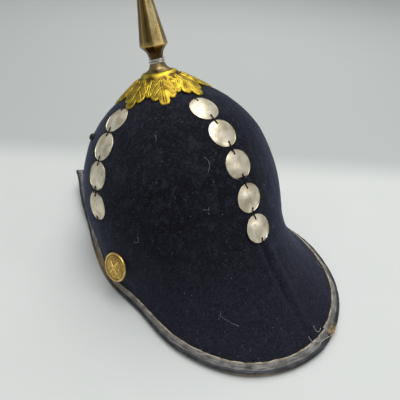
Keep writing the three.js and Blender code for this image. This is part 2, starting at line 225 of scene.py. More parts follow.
# Thread of two strands, and its way from a hole over the disc's edge to the cloth
THREAD = Sizes(radius=0.3, apart=0.27, flat=0.5, sides=6, twist=2.2, steps=6, stray=0.2)
STITCH = Sizes(sink=0.9, clear=0.1, over=1.5, inside=0.2, level=0.5, outside=0.5, foot=0.25)

# Side buttons, placed up from the lip and leaning out at the foot; rows are share of radius and height
BUTTON = Sizes(radius=12.4, bearing=76.6 * DEGREE, up=39.7, lean=19 * DEGREE)
BUTTON_ROWS = (
    (0, 3.0), (0.5, 2.6), (0.78, 1.75), (0.83, 1.5), (0.86, 1.6), (0.9, 2.1), (0.94, 2.15), (0.98, 1.7),
    (1.0, 0.9),
)
BUTTON_BACK_ROWS = ((0.97, 0), (0.5, 0), (0.2, 0), (0.19, -2.6), (0.05, -2.6))
BUTTON_SECTORS = 128
BUTTON_SHARES = np.linspace(0.02, 1, 44)
BUTTON_FIELD = 0.84
BUTTON_DITCH = (0.8, 0.88)
# Painted light of the button: staves, pebbles and rim painted brighter as highlights, the ditch inside the
# rim and the back darker as shade
BUTTON_PAINTED_LIGHT = {"plain": 0.55, "stave": 0.35, "pebbles": 0.5, "rim": 0.35, "ditch": -0.5}
BUTTON_BACK_PAINTED_SHADE = 0.2
STAVE = Sizes(width=0.75, length=7.2, rise=0.75, lean=38 * DEGREE, end=2, top=1.6, side=1.2)
PEBBLE = Sizes(size=1.1, rise=0.18)

# Studs, placed down from the top
STUD = Sizes(radius=3.2, bearing=112 * DEGREE, down=76)
STUD_SIDES = 24
STUD_ROWS = (
    (0, 0), (3.0, 0), (3.2, 0.3), (3.2, 1.3), (3.0, 2.0), (2.5, 2.8), (1.6, 3.4), (0.7, 3.6), (0, 3.65),
)

# Specks of lint, and short fibres that lie just over the cloth
LINT = Sizes(count=2600, least=0.05, more=0.16, power=3, stretch=(1, 3), flat=0.6, lift=0.1)
LINT_SEED = 11
SPECK_CORNERS = ((1, 0, 0), (-1, 0, 0), (0, 1, 0), (0, -1, 0), (0, 0, 1), (0, 0, -1))
SPECK_FACES = ((0, 2, 4), (2, 1, 4), (1, 3, 4), (3, 0, 4), (2, 0, 5), (1, 2, 5), (3, 1, 5), (0, 3, 5))
INSIDE_POINT = (0, 0, 40)
FIBRE = Sizes(
    count=300, length=(0.8, 2.6), curl=(-2.5, 2.5), radius=(0.02, 0.04), steps=6, sides=3,
    least_lift=0.12, lift=0.25, waves=3,
)

# Torn fibres near the join of the leather
FRAYS = Sizes(
    count=60, bearing=-8.6 * DEGREE, spread=1.1 * DEGREE, up=(0.2, 7), heading=-80 * DEGREE,
    heading_spread=50 * DEGREE, length=(2, 6.5), curl=(-2, 2), lift=1.6, curl_up=2.4,
    radius=(0.04, 0.08), steps=8,
)

# Loose hairs: bearing in degrees, distance down, heading in degrees, length, curl and radius
HAIRS = (
    (16.5, 100, -98, 12, -0.8, 0.06), (23.5, 131, 15, 6, 0.9, 0.05),
    (23.2, 133, 80, 5, -0.8, 0.05), (25.3, 222, -42, 16, 0.12, 0.055),
    (28.2, 217, 57, 6.5, 0.3, 0.045), (-2.9, 258.5, -49, 11, 1.6, 0.15),
    (0.8, 260.7, -61, 9, 0.9, 0.16), (-3.8, 266.3, -15, 18, -0.2, 0.2),
    (-32.8, 238.5, -148, 11, 1.3, 0.06), (43.5, 72, 95, 6, 0.6, 0.06),
    (60, 150, 40, 8, 1.3, 0.06), (-60, 110, 30, 9, 1.1, 0.06),
    (-120, 90, 70, 8, -1.2, 0.06), (160, 100, 50, 9, 1.4, 0.06),
    (-85, 160, 15, 7, 1.9, 0.06),
)
HAIR_STEPS = 14
HAIR_LIFT = Sizes(cloth=0.3, leather=3.3)
STRAND_SIDES = 4

# Camera: place in the helmet's own frame, turn in the resting frame in degrees, and lens and sensor
CAMERA_PLACE = (185.82, 283.55, 188.58)
CAMERA_TURN = (50.42, -2.74, 139.09)
CAMERA_LENS = 34.73
CAMERA_SENSOR = 36

# Stage, in metres: floor, painted darker behind the helmet as painted shade of a backdrop and lighter again
# further back to make up for the lamps' fall-off, even light, and lamps with their name, place, size, power
# and colour
FLOOR_HALF = 6.0
PAINTED_BACKDROP_SHADE = Sizes(direction=(-0.684, -0.729, 0), edge=(0.115, 0.185), fade=(0.2, 0.95))
WORLD = {"Color": (0.95, 0.99, 0.98, 1), "Strength": 0.35}
LAMP_TARGET = (0, 0, 0.1)
LAMPS = (
    ("overhead", (0.05, 0.15, 1.3), 0.9, 7.8, (1.0, 1.0, 0.99)),
    ("key", (-0.45, -0.34, 1.1), 0.8, 4.2, (1.0, 0.99, 0.97)),
    ("window", (-0.5, 0.9, 0.7), 0.35, 1.1, (1.0, 1.0, 1.0)),
)

# Looks of the materials. A noise has a size in millimetres, detail, roughness and what it runs on. A ground
# is a colour with layers over it: the value that shows the layer, the range over which it does, the most
# that shows, and a colour or another ground. Roughness has a value, its range and what that gives. A bump
# has a value, a depth in millimetres and a strength
SPECULAR = "Specular IOR Level"
EVEN = 0.55
UP = (0, 0, 1)


def gilt_look(low, middle, high, roughness):
    """Gilt painted brown in its hollows as painted shade and bright on its ridges as painted highlights."""
    return {
        "shader": {"Metallic": 1.0},
        "noises": {"tarnish": (2.6, 5), "cloud": (8, 3), "fine": (0.8, 3)},
        "grounds": {"all": (
            low,
            ("relief", (0.05, 0.45), 1, middle),
            ("relief", (0.45, 0.95), 1, high),
            ("cloud", (0.48, 0.72), 0.5, low),
            ("tarnish", (0.55, 0.8), 0.6, low),
        )},
        "roughness": ("tarnish", (0.3, 0.8), (roughness, roughness + 0.22)),
        "bumps": (("fine", 0.2, 0.7),),
    }


def metal_look(metallic, size, ground, stain, roughness, bump):
    """Plain metal with stains or rubbed places of one size."""
    return {
        "shader": {"Metallic": metallic},
        "noises": {"stains": (size, 4)},
        "grounds": {"all": (ground, ("stains", (0.5, 0.75), 1, stain))},
        "roughness": ("stains", (0.3, 0.8), roughness),
        "bumps": (("stains", *bump),),
    }


def fibre_look(dark, light, roughness):
    """Thread, lint or frayed fibre, with strands of two shades."""
    return {
        "shader": {"Roughness": roughness, SPECULAR: 0.2},
        "noises": {"strands": (1.5, 3), "fine": (0.3, 2)},
        "grounds": {"all": (dark, ("strands", (0.35, 0.65), 1, light))},
        "bumps": (("fine", 0.05, 0.6),),
    }


LOOKS = {
    "navy_cloth": {
        "shader": {
            "Roughness": 0.95, SPECULAR: 0.15, "Sheen Weight": 0.25, "Sheen Roughness": 0.4,
            "Sheen Tint": (0.38, 0.46, 0.70),
        },
        "noises": {
            "patches": (45, 2), "dust": (13, 5, 0.65), "nap": (2.2, 5), "fibre": (0.9, 2, 0.7),
            "streaks": (4, 3, EVEN, (1, 1, 0.22)), "speckle": (1.7, 2, 0.7),
        },
        "distances": {"height": UP},
        "grounds": {"all": (
            (0.0028, 0.0028, 0.0058),
            ("patches", (0.35, 0.65), 1, (0.0064, 0.0064, 0.0120)),
            # Pale bluish streaks down the cloth: partly the nap's own tone, partly painted sheen along its
            # folds
            ("streaks", (0.5, 0.7), 0.8, (0.0185, 0.0197, 0.033)),
            ("height", (0.085, 0.02), 0.6, (0.0182, 0.0185, 0.0325)),
            ("dust", (0.5, 0.72), 0.7, (0.021, 0.0215, 0.033)),
            ("nap", (0.45, 0.75), 0.7, (0.0098, 0.0098, 0.0175)),
            ("speckle", (0.52, 0.72), 0.5, (0.034, 0.034, 0.048)),
            ("speckle", (0.48, 0.3), 0.7, (0.0018, 0.0018, 0.0042)),
            ("fibre", (0.6, 0.74), 0.6, (0.06, 0.06, 0.08)),
        )},
        "bumps": (("nap", 0.5, 0.7), ("fibre", 0.25, 0.8)),
    },
    "edge_leather": {
        "shader": {SPECULAR: 0.4},
        "noises": {
            "patches": (9, 4), "scuffs": (2.0, 6, 0.7), "fray": (5, 3),
            "creases": (1.1, 4, EVEN, ("run", "up")),
        },
        "cells": {"grain": 0.8},
        "products": {"rubbed": ("worn", "scuffs", (0.3, 0.6))},
        "grounds": {
            # The dark roll: partly the leather's own colour, partly painted shade; its lighter bluish
            # patches and creases are painted highlights
            "roll": (
                (0.012, 0.0125, 0.018),
                ("patches", (0.4, 0.7), 1, (0.036, 0.037, 0.048)),
                ("creases", (0.52, 0.72), 0.7, (0.13, 0.13, 0.15)),
            ),
            "tan": ((0.16, 0.095, 0.042), ("patches", None, 1, (0.40, 0.28, 0.14))),
            "raw": ((0.22, 0.155, 0.075), ("fray", (0.35, 0.65), 1, (0.66, 0.56, 0.38))),
            "all": (
                (0.14, 0.134, 0.13),
                ("patches", (0.35, 0.65), 1, (0.30, 0.288, 0.275)),
                ("creases", (0.55, 0.35), 0.8, (0.03, 0.028, 0.028)),
                ("roll", None, 1, "roll"),
                ("scuffs", (0.58, 0.75), 0.5, (0.20, 0.185, 0.16)),
                ("rubbed", None, 1, "tan"),
                ("raw", None, 1, "raw"),
            ),
        },
        "roughness": ("scuffs", (0.3, 0.7), (0.34, 0.7)),
        "bumps": (("grain", 0.15, 0.5), ("scuffs", 0.3, 0.5), ("creases", 0.35, 0.6)),
    },
    "leaf_gilt": gilt_look((0.15, 0.083, 0.022), (0.47, 0.325, 0.034), (0.74, 0.56, 0.054), 0.38),
    "button_gilt": gilt_look((0.08, 0.041, 0.013), (0.43, 0.262, 0.062), (0.88, 0.62, 0.19), 0.3),
    "aged_brass": {
        "shader": {"Metallic": 1.0},
        "noises": {"streaks": (5, 5, EVEN, (1, 1, 0.25)), "pits": (1.2, 4)},
        "grounds": {
            "light": ((0.30, 0.215, 0.09), ("streaks", (0.35, 0.68), 1, (0.56, 0.455, 0.285))),
            "all": (
                (0.054, 0.033, 0.012),
                ("streaks", (0.35, 0.68), 1, (0.130, 0.080, 0.029)),
                # Pale brass, painted on the spike's side towards the light as painted light, and evenly on
                # the collar as its tone
                ("handled", None, 1, "light"),
                ("pits", (0.58, 0.75), 0.7, (0.06, 0.04, 0.02)),
                # Edges worn bright, and painted bright too as an edge highlight
                ("edge", None, 0.85, (0.80, 0.56, 0.18)),
            ),
        },
        "roughness": ("streaks", (0.3, 0.7), (0.26, 0.46)),
        "bumps": (("pits", 0.12, 0.5),),
    },
    "white_metal": metal_look(0.9, 2.2, (0.74, 0.71, 0.64), (0.36, 0.32, 0.24), (0.25, 0.5), (0.1, 0.4)),
    "silvered_sheet": {
        "shader": {"Metallic": 0.7},
        "noises": {"cloud": (9, 3), "streaks": (2.6, 5, EVEN, (1, 1, 0.3)), "spots": (1.3, 3)},
        "grounds": {"all": (
            (0.86, 0.80, 0.64),
            ("cloud", (0.35, 0.68), 1, (0.56, 0.47, 0.33)),
            ("streaks", (0.5, 0.75), 0.4, (0.40, 0.33, 0.22)),
            ("spots", (0.64, 0.78), 0.6, (0.28, 0.22, 0.14)),
        )},
        "roughness": ("streaks", (0.3, 0.75), (0.3, 0.46)),
        "bumps": (("streaks", 0.08, 0.35),),
    },
    "blackened_metal": metal_look(
        0.5, 1.6, (0.010, 0.010, 0.012), (0.05, 0.045, 0.04), (0.38, 0.65), (0.15, 0.5),
    ),
    "dark_thread": fibre_look((0.006, 0.005, 0.006), (0.02, 0.016, 0.015), 0.85),
    "lint": fibre_look((0.09, 0.09, 0.11), (0.4, 0.4, 0.44), 0.9),
    "pale_hair": fibre_look((0.35, 0.35, 0.36), (0.7, 0.7, 0.7), 0.7),
    "torn_fibre": fibre_look((0.36, 0.23, 0.09), (0.72, 0.56, 0.32), 0.85),
    "pale_floor": {
        "shader": {"Roughness": 0.75, SPECULAR: 0.25},
        "noises": {"mottle": (60, 4), "grain": (2.5, 3)},
        "distances": {"back": PAINTED_BACKDROP_SHADE.direction},
        # Painted shade behind the helmet, standing in for a backdrop, lighter further back to make up for
        # the lamps' fall-off
        "grounds": {
            "backdrop": ((0.525, 0.545, 0.54), ("back", PAINTED_BACKDROP_SHADE.fade, 1, (0.66, 0.68, 0.67))),
            "all": (
                (0.71, 0.73, 0.72),
                ("mottle", None, 1, (0.75, 0.765, 0.755)),
                ("back", PAINTED_BACKDROP_SHADE.edge, 1, "backdrop"),
            ),
        },
        "bumps": (("grain", 0.05, 0.3),),
    },
}

random.seed(SEED)

# Resting frame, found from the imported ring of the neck
TILT = np.array([
    [1, 0, 0],
    [0, math.cos(REST_PITCH), -math.sin(REST_PITCH)],
    [0, math.sin(REST_PITCH), math.cos(REST_PITCH)],
])
RING_MIDDLE = (RING_ROWS[0][1] + RING_ROWS[-1][1]) / 2
ring_low, ring_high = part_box("thread_ring")
ORIGIN = np.array((ring_low + ring_high) / 2) - TILT @ (0, 0, (CROWN_HEIGHT + RING_MIDDLE) * MM)


def placed(points):
    """Points of the helmet's own frame, in millimetres, in the resting frame in metres."""
    return np.asarray(points, float) @ TILT.T * MM + ORIGIN


def unit(value):
    """A value held between 0 and 1."""
    return np.clip(value, 0, 1)


def bell(distance, width):
    """1 in the middle, and less past the width."""
    return np.exp(-(distance / width) ** 2)


def around(count):
    """Even angles round a full turn."""
    return np.arange(count) / count * TURN


def signed(angle):
    """The same angle, between minus and plus half a turn."""
    return np.arctan2(np.sin(angle), np.cos(angle))


# Shape of the dome and its flare


def from_rear(bearing):
    """Angle from the rear, the same on both sides."""
    return np.abs(signed(bearing))


def along_rim(column, bearing):
    """A value of the rim's table at any bearing, smooth and the same on both sides."""
    values = np.array(RIM[column], float)
    last = len(values) - 1
    place = from_rear(bearing) / math.pi * last
    start = np.minimum(np.floor(place), last - 1).astype(int)
    a, b, c, d = (values[last - np.abs(last - np.abs(start + step))] for step in (-1, 0, 1, 2))
    u = place - start
    return b + 0.5 * u * (c - a + u * (2 * a - 5 * b + 4 * c - d + u * (3 * (b - c) + d - a)))


def plan_radius(bearing):
    length = np.where(np.cos(bearing) > 0, CROWN_REAR_LENGTH, CROWN_FRONT_LENGTH)
    return 1 / np.hypot(np.sin(bearing) / CROWN_HALF_WIDTH, np.cos(bearing) / length)


def crown_radius(bearing, height):
    rise = np.maximum(height / CROWN_HEIGHT, 0)
    return plan_radius(bearing) * np.maximum(1 - rise ** WALL_POWER, 0) ** (1 / TOP_POWER)


def crown_height(bearing, radius):
    return CROWN_HEIGHT * (1 - (radius / plan_radius(bearing)) ** TOP_POWER) ** (1 / WALL_POWER)


def offset_section(radius, height, along_radius, along_height, offset):
    """Radius and height moved out by the offset, square to a section that runs downward."""
    length = np.hypot(along_radius, along_height)
    return radius - along_height / length * offset, height + along_radius / length * offset


def crown_section(bearing, height, offset):
    radius = crown_radius(bearing, height)
    below = crown_radius(bearing, height - SMALL_STEP)
    return offset_section(radius, height, below - radius, -SMALL_STEP, offset)


def flare_points(bearing):
    """The four control points of the flare's curve at each bearing, as radius and height."""
    waist = along_rim("waist", bearing)
    slope = along_rim("slope", bearing) * DEGREE
    start = np.stack([crown_radius(bearing, waist), waist])
    above = np.stack([crown_radius(bearing, waist + SMALL_STEP), waist + SMALL_STEP])
    corner = np.exp(-np.abs(from_rear(bearing) - VISOR_CORNER.bearing) / VISOR_CORNER.spread)
    reach = start[0] + along_rim("flare", bearing) + VISOR_CORNER.reach * corner
    plane = REST_LEVEL - math.tan(REST_PITCH) * reach * np.cos(bearing)
    end = np.stack([reach, plane + along_rim("lift", bearing) + VISOR_CORNER.lift * corner])
    pull = np.hypot(*(end - start)) * FLARE_PULL
    leaving = (start - above) / np.hypot(*(start - above)) * pull
    arriving = np.stack([np.cos(slope), -np.sin(slope)]) * pull
    return start, start + leaving, end - arriving, end


def curve_place(curve, up):
    """Place on the flare's curve at a short distance up from the lip."""
    return 1 - up / (3 * np.hypot(*(curve[3] - curve[2])))


def keel(bearing, place):
    return KEEL_RISE * place ** 2 * np.exp(-from_rear(bearing) / KEEL_SPREAD)


def flare_section(bearing, curve, place, offset):
    rest = 1 - place
    a, b, c, d = curve
    point = rest ** 3 * a + 3 * place * rest ** 2 * b + 3 * place ** 2 * rest * c + place ** 3 * d
    run = rest ** 2 * (b - a) + 2 * place * rest * (c - b) + place ** 2 * (d - c)
    return offset_section(point[0], point[1], run[0], run[1], offset + keel(bearing, place))


def spun(bearing, section):
    """Points at a bearing, from their radius and height."""
    radius, height = section
    parts = np.broadcast_arrays(radius * np.sin(bearing), radius * np.cos(bearing), height)
    return np.stack(parts, axis=-1)


def body_ring(bearing, progress, offset):
    """One ring of the body: progress 0 is the top, 1 the waist and 2 the lower edge of the felt."""
    curve = flare_points(bearing)
    if progress < 1:
        waist = curve[0][1]
        height = waist + (CROWN_HEIGHT - waist) * math.cos(progress * math.pi / 2)
        return spun(bearing, crown_section(bearing, height, offset))
    place = (progress - 1) * curve_place(curve, FELT_SETBACK)
    return spun(bearing, flare_section(bearing, curve, place, offset))


def outline(bearing):
    """Outline from the top to the lip at one bearing, with its length at each point."""
    angle = np.array([bearing])
    curve = flare_points(angle)
    waist = curve[0][1]
    steps = np.arange(1, OUTLINE_STEPS) / OUTLINE_STEPS
    crown = crown_section(angle, waist + (CROWN_HEIGHT - waist) * np.cos(steps * math.pi / 2), 0)
    flare = flare_section(angle, curve, np.linspace(0, 1, OUTLINE_STEPS + 1), 0)
    points = np.concatenate([[[0.0], [CROWN_HEIGHT]], crown, flare], axis=1).T
    lengths = np.hypot(*np.diff(points, axis=0).T)
    return points, np.concatenate([[0], np.cumsum(lengths)])


def lip_down(bearing):
    return outline(bearing)[1][-1]


def outline_at(bearing, down):
    points, lengths = outline(bearing)
    return np.array([np.interp(down, lengths, points[:, axis]) for axis in (0, 1)])


def seat(bearing, down, radius):
    """Middle and axes (across, up, out) of a round piece that sits flat on the dome."""
    middle = outline_at(bearing, down)
    tangent = outline_at(bearing, down + SMALL_STEP) - outline_at(bearing, down - SMALL_STEP)
    tangent = tangent / np.hypot(*tangent)
    normal = np.array([-tangent[1], tangent[0]])
    bulges = [(outline_at(bearing, down + step) - middle) @ normal for step in (-radius, radius)]
    middle = middle + normal * (max(*bulges, -DISC.settle) + GAP)
    up = spun(bearing, -tangent)
    out = spun(bearing, normal)
    return spun(bearing, middle), np.stack([np.cross(up, out), up, out])


# Meshes


def linked(name, data):
    """An object of the scene with the given data."""
    made = bpy.data.objects.new(name, data)
    bpy.context.scene.collection.objects.link(made)
    return made


def closed_mesh(name, points, faces):
    """A mesh whose faces look outward."""
    mesh = bpy.data.meshes.new(name)
    mesh.from_pydata(points.tolist(), [], faces)
    shape = bmesh.new()
    shape.from_mesh(mesh)
    bmesh.ops.recalc_face_normals(shape, faces=shape.faces)
    shape.to_mesh(mesh)
    shape.free()
    return mesh


def grid_faces(rings, columns, wrap_rings, wrap_columns):
    ring, column = np.meshgrid(
        np.arange(rings if wrap_rings else rings - 1),
        np.arange(columns if wrap_columns else columns - 1),
        indexing="ij",
    )
    next_ring = (ring + 1) % rings
    next_column = (column + 1) % columns
    corners = ((ring, column), (ring, next_column), (next_ring, next_column), (next_ring, column))
    return np.stack([r * columns + c for r, c in corners], axis=-1).reshape(-1, 4).tolist()


class Form:
    """Points, faces and point values of one piece, gathered from one or more closed shapes."""

    def __init__(self):
        self.points = []
        self.faces = []
        self.values = {}
        self.count = 0

    def add(self, points, faces, **values):
        points = np.asarray(points, float).reshape(-1, 3)
        self.points.append(points)
        self.faces += [[self.count + index for index in face] for face in faces]
        for name, value in values.items():
            self.values.setdefault(name, []).append(np.broadcast_to(value, len(points)))
        self.count += len(points)

    def closed_grid(self, rings, poles, **values):
        """Rings of points closed by a pole at each end; values have a number for each ring and column."""
        rings = np.asarray(rings, float)
        count, columns = rings.shape[:2]
        faces = grid_faces(count, columns, False, True)
        first, last = count * columns, count * columns + 1
        top = (count - 1) * columns
        for column in range(columns):
            beside = (column + 1) % columns
            faces.append((first, beside, column))
            faces.append((last, top + column, top + beside))
        flat = {}
        for name, value in values.items():
            value = np.broadcast_to(value, (count, columns))
            flat[name] = np.concatenate([value.reshape(-1), [value[0].mean(), value[-1].mean()]])
        self.add(np.concatenate([rings.reshape(-1, 3), poles]), faces, **flat)

    def tube(self, path, radius, sides):
        """A closed round tube along a path."""
        tangent = np.gradient(path, axis=0)
        tangent /= np.linalg.norm(tangent, axis=1, keepdims=True)
        guide = np.eye(3)[np.argmin(np.abs(tangent.mean(axis=0)))]
        side = np.cross(tangent, guide)
        side /= np.linalg.norm(side, axis=1, keepdims=True)
        other = np.cross(tangent, side)
        angle = around(sides)[:, None]
        circle = np.cos(angle) * side[:, None] + np.sin(angle) * other[:, None]
        self.closed_grid(path[:, None] + circle * radius, path[[0, -1]])

    def turned(self, rows, sides, foot, **values):
        """A turned shape on the dome's axis from rows of radius and height that end on the axis."""
        radius, height = np.array(rows[1:-1]).T[..., None]
        rings = spun(around(sides), (radius, height + foot))
        poles = [(0, 0, rows[0][1] + foot), (0, 0, rows[-1][1] + foot)]
        self.closed_grid(rings, poles, **values)

    def sit(self, middle, axes):
        """Moves the shape from a seated piece's own frame to the helmet's frame."""
        self.points = [in_seat(points, middle, axes) for points in self.points]

    def piece(self, name, material, slot, *nodes, sharp):
        """Makes the finished object, in the resting frame, riding on the helmet."""
        mesh = closed_mesh(name, placed(np.concatenate(self.points)), self.faces)
        for value_name, parts in self.values.items():
            attribute = mesh.attributes.new(value_name, "FLOAT", "POINT")
            attribute.data.foreach_set("value", np.concatenate(parts).astype(np.float32))
        mesh.shade_smooth()
        mesh.set_sharp_from_angle(angle=SHARP[sharp] * DEGREE)
        mesh.materials.append(material)
        piece = linked(name, mesh)
        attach(piece, "root")
        if nodes:
            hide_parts(*nodes)


def noise_at(points, size, shift=0.0):
    """Smooth noise between about -1 and 1 at each point, for lumps of the given size."""
    flat = np.asarray(points, float).reshape(-1, 3) / size + shift
    values = np.array([noise.noise(Vector(point)) for point in flat])
    return values.reshape(np.shape(points)[:-1])


def in_seat(points, middle, axes):
    """Points of a seated piece's own frame in the helmet's frame."""
    return np.asarray(points, float) @ axes + middle


def shaded(shades, **amounts):
    """Painted light of a raised shape: how bright it is painted, from what there is of each of its parts.
    """
    return unit(shades["plain"] + sum(shades[part] * amount for part, amount in amounts.items()))


# Materials


class Paint:
    """A procedural material: each method adds a node and gives its output."""

    def __init__(self, name):
        self.material = bpy.data.materials.new(name)
        self.material.use_nodes = True
        self.tree = self.material.node_tree
        self.shader = self.tree.nodes["Principled BSDF"]
        self.coordinates = self.tree.nodes.new("ShaderNodeTexCoord").outputs["Object"]
        self.normal = None
        self.values = {}

    def feed(self, socket, value):
        """Gives a socket the output of a node, or a constant."""
        if isinstance(value, bpy.types.NodeSocket):
            self.tree.links.new(value, socket)
        elif socket.type == "RGBA":
            socket.default_value = (*value, 1)
        else:
            socket.default_value = value

    def set(self, socket, value):
        self.feed(self.shader.inputs[socket], value)

    def node(self, kind, inputs, output, **settings):
        node = self.tree.nodes.new(kind)
        for key, value in settings.items():
            setattr(node, key, value)
        for key, value in inputs.items():
            self.feed(node.inputs[key], value)
        return node.outputs[output]

    def value(self, name):
        """A value of the material, or else the mesh's own value of that name."""
        if name not in self.values:
            self.values[name] = self.node("ShaderNodeAttribute", {}, "Fac", attribute_name=name)
        return self.values[name]

    def vector(self, runs_on):
        """Coordinates squeezed on each axis, for streaks, or made of two of the mesh's values."""
        if runs_on is None:
            return self.coordinates
        if isinstance(runs_on[0], str):
            a, b = (self.value(name) for name in runs_on)
            return self.node("ShaderNodeCombineXYZ", {"X": a, "Y": b}, "Vector")
        inputs = {"Vector": self.coordinates, "Scale": runs_on}
        return self.node("ShaderNodeMapping", inputs, "Vector")

    def noise(self, size, detail, roughness=EVEN, runs_on=None):
        """Noise between 0 and 1 with lumps of a size in millimetres."""
        inputs = {
            "Vector": self.vector(runs_on),
            "Scale": 1 / (size * MM),
            "Detail": detail,
            "Roughness": roughness,
        }
        return self.node("ShaderNodeTexNoise", inputs, "Fac")

    def cells(self, size):
        inputs = {"Vector": self.coordinates, "Scale": 1 / (size * MM)}
        return self.node("ShaderNodeTexVoronoi", inputs, "Distance", feature="F1")

    def along(self, direction):
        """Distance along a direction, in metres."""
        inputs = {0: self.coordinates, 1: direction}
        return self.node("ShaderNodeVectorMath", inputs, "Value", operation="DOT_PRODUCT")

    def spread(self, name, span, ends=(0, 1)):
        """A value that goes smoothly from one end to the other over a span of a named value."""
        inputs = {"Value": self.value(name), "From Min": span[0], "From Max": span[1]}
        inputs.update({"To Min": ends[0], "To Max": ends[1]})
        return self.node("ShaderNodeMapRange", inputs, "Result", interpolation_type="SMOOTHSTEP")

    def times(self, name, factor):
        inputs = {0: self.value(name), 1: factor}
        return self.node("ShaderNodeMath", inputs, "Value", operation="MULTIPLY")

    def layer(self, ground, name, span, most, colour):
        """A colour over a ground, as far as a named value shows it."""
        if span:
            shown = self.spread(name, span, (0, most))
        elif most == 1:
            shown = self.value(name)
        else:
            shown = self.times(name, most)
        # A mix node has its share, its two colours and its mixed colour at these places
        return self.node("ShaderNodeMix", {0: shown, 6: ground, 7: colour}, 2, data_type="RGBA")

    def bump(self, name, depth, strength):
        """Adds a bump of a depth in millimetres to the surface."""
        inputs = {"Height": self.value(name), "Distance": depth * MM, "Strength": strength}
        if self.normal:
            inputs["Normal"] = self.normal
        self.normal = self.node("ShaderNodeBump", inputs, "Normal")
        self.set("Normal", self.normal)


def painted(name):
    """The material of that name, from its table of looks."""
    look = LOOKS[name]
    paint = Paint(name)
    for socket, value in look["shader"].items():
        paint.set(socket, value)
    for key, settings in look["noises"].items():
        paint.values[key] = paint.noise(*settings)
    for key, direction in look.get("distances", {}).items():
        paint.values[key] = paint.along(direction)
    for key, size in look.get("cells", {}).items():
        paint.values[key] = paint.cells(size)
    for key, (first, second, span) in look.get("products", {}).items():
        paint.values[key] = paint.times(first, paint.spread(second, span))
    grounds = {}
    for key, (ground, *layers) in look["grounds"].items():
        for shown, span, most, colour in layers:
            ground = paint.layer(ground, shown, span, most, grounds.get(colour, colour))
        grounds[key] = ground
    paint.set("Base Color", grounds["all"])
    if "roughness" in look:
        paint.set("Roughness", paint.spread(*look["roughness"]))
    for bump in look["bumps"]:
        paint.bump(*bump)
    return paint.material


# Pieces

SEAM_FOOT = outline(0)[0][-1][0] - BAND


def cloth_lumps(base):
    """Rise of the worn cloth over its even shape."""
    return NAP + sum(lumps.rise * noise_at(base, lumps.size) for lumps in (UNEVEN, PUCKER))


def seam_rise(base):
    """Fold down the middle of the neck guard."""
    across, back = base[..., 0], base[..., 1]
    fold = sum(part.rise * bell(across - part.place, part.width) for part in (SEAM_RIDGE, SEAM))
    ended = np.clip((SEAM_FOOT - back) / SEAM_END.over, SEAM_END.share, 1)
    return fold * ended * (back > 0)


def body_progress(rows):
    """Progress of each ring of the body, from rows of its dome and its flare."""
    crown, flare = rows
    return [row / crown for row in range(1, crown)] + [1 + row / flare for row in range(flare + 1)]


def make_cloth(material):
    step = (np.arange(CLOTH_COLUMNS) / CLOTH_COLUMNS - 0.5) * TURN
    bearing = step - SEAM_CROWDING * np.sin(step)

    def rise(progress):
        base = body_ring(bearing, progress, 0)
        started = unit((progress - SEAM_START.progress) * SEAM_START.quickness)
        return cloth_lumps(base) + seam_rise(base) * started

    outside = [body_ring(bearing, progress, rise(progress)) for progress in body_progress(CLOTH_ROWS)]
    inside = [body_ring(bearing, progress, -FELT) for progress in body_progress(INSIDE_ROWS)]
    form = Form()
    form.closed_grid(outside + inside[::-1], [(0, 0, CROWN_HEIGHT), (0, 0, CROWN_HEIGHT - FELT)])
    form.piece("cloth_body", material, "cloth", "shell", sharp="soft")
    return np.array(outside)


def rested(points):
    """Points under the resting plane, pushed up onto it."""
    up = np.array([0, math.sin(REST_PITCH), math.cos(REST_PITCH)])
    floor = REST_LEVEL * math.cos(REST_PITCH) - SOLE_DROP
    return points + np.maximum(floor - points @ up, 0)[..., None] * up


def worn_at(bearing, up):
    total = np.zeros_like(bearing)
    for middle, width, strength, reach in WORN:
        turn = signed(bearing - middle * DEGREE)
        total = np.maximum(total, strength * bell(turn, width * DEGREE) * unit(reach - up))
    return total


def wave_at(points, wave):
    size, rise, shift = wave
    return rise * noise_at(points, size, shift)


def make_binding(material):
    start = JOIN.bearing + JOIN.gap
    bearing = start + np.linspace(0, TURN - 2 * JOIN.gap, BINDING_COLUMNS)
    curve = flare_points(bearing)
    lip = spun(bearing, curve[3])
    run = np.concatenate([[0], np.cumsum(np.linalg.norm(np.diff(lip, axis=0), axis=1))])
    line = run[:, None] * (1, 0, 0)
    flap = unit(1 - run / JOIN.flap) ** 2 * JOIN.lift
    ragged = sum(wave_at(line, wave) for wave in RAGGED)
    rings, values = [], []
    for index, (up, out, raw) in enumerate(BINDING_ROWS):
        share = unit(up / BAND)
        outside = index < BINDING_OUTSIDE_ROWS
        wave = wave_at(line + (0, up, 0), LONG_WAVE) + wave_at(line + (0, up / 2, 0), SHORT_WAVE)
        shift = 0
        if outside:
            shift = ragged if raw > RAW_EDGE else ragged * share / 2
        proud = out + (wave + flap * share ** 2 if outside else wave / 2)
        section = flare_section(bearing, curve, curve_place(curve, up + shift), proud)
        rings.append(rested(spun(bearing, section)))
        row = (raw, worn_at(bearing, up), up <= ROLL_TOP or not outside, up * MM, run * MM * CREASE_SHARE)
        values.append(np.broadcast_arrays(*row))
    rows = len(rings)
    faces = grid_faces(rows, BINDING_COLUMNS, True, False)
    faces.append([row * BINDING_COLUMNS for row in range(rows)])
    faces.append([row * BINDING_COLUMNS + BINDING_COLUMNS - 1 for row in range(rows)][::-1])
    raw, worn, roll, up, run = np.concatenate(values, axis=1)
    form = Form()
    form.add(rings, faces, raw=raw, worn=worn, roll=roll, up=up, run=run)
    form.piece("leather_edge", material, "leather", "edge_binding", sharp="leather")


